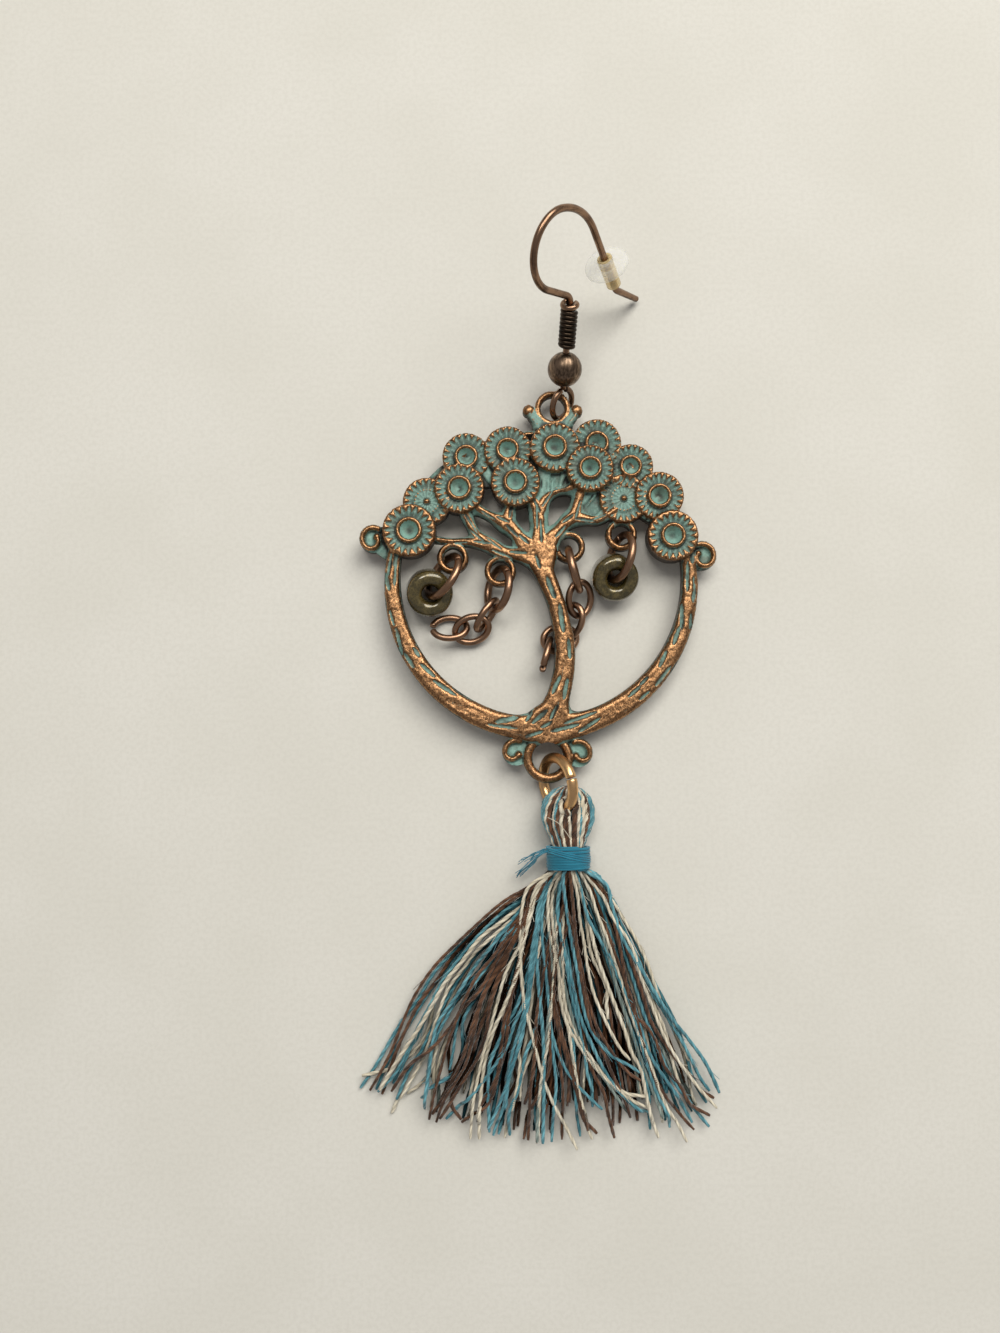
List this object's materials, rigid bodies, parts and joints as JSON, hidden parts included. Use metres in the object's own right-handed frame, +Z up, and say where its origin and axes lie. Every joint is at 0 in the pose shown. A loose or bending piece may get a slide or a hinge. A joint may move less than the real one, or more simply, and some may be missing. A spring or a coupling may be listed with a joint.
{
  "type": "tassel earring",
  "caption": "Drop earring with a cast tree-of-flowers ring, glazed beads and short chains, a fish-hook ear wire with a stopper and a thread tassel.",
  "frame": {"origin": "centre of the box in plan, on the surface that the earring lies on", "axes": "+Y along the earring toward the ear wire, +Z up from the surface, +X across"},
  "size_m": [0.0302, 0.0736, 0.0135],
  "materials": {
    "cast_copper": "cast copper with teal and dark patina, half rubbed back",
    "copper_wire": "antiqued copper wire, brushed",
    "dark_bronze": "dark polished bronze",
    "clear_stopper": "clear and slightly yellowed",
    "bead_glaze": "mottled olive and bronze glaze",
    "mixed_thread": "loose twisted cotton threads, blue, teal, brown and cream",
    "binding_thread": "wound blue thread"
  },
  "bodies": {
    "root": {"tree_pendant": "cast_copper", "ear_hook": "copper_wire", "hook_coil": "dark_bronze", "hook_bead": "dark_bronze", "ear_stopper": "clear_stopper", "bead_ring_left": "copper_wire", "bead_ring_right": "copper_wire", "chain_ring_left": "copper_wire", "chain_ring_right": "copper_wire", "bead_left": "bead_glaze", "bead_right": "bead_glaze", "chain_left_link_1": "copper_wire", "chain_left_link_2": "copper_wire", "chain_left_link_3": "copper_wire", "chain_right_link_1": "copper_wire", "chain_right_link_2": "copper_wire", "chain_right_link_3": "copper_wire", "chain_right_link_4": "copper_wire", "tassel_ring": "copper_wire", "tassel": "mixed_thread", "tassel_binding": "binding_thread"}
  },
  "joints": []
}
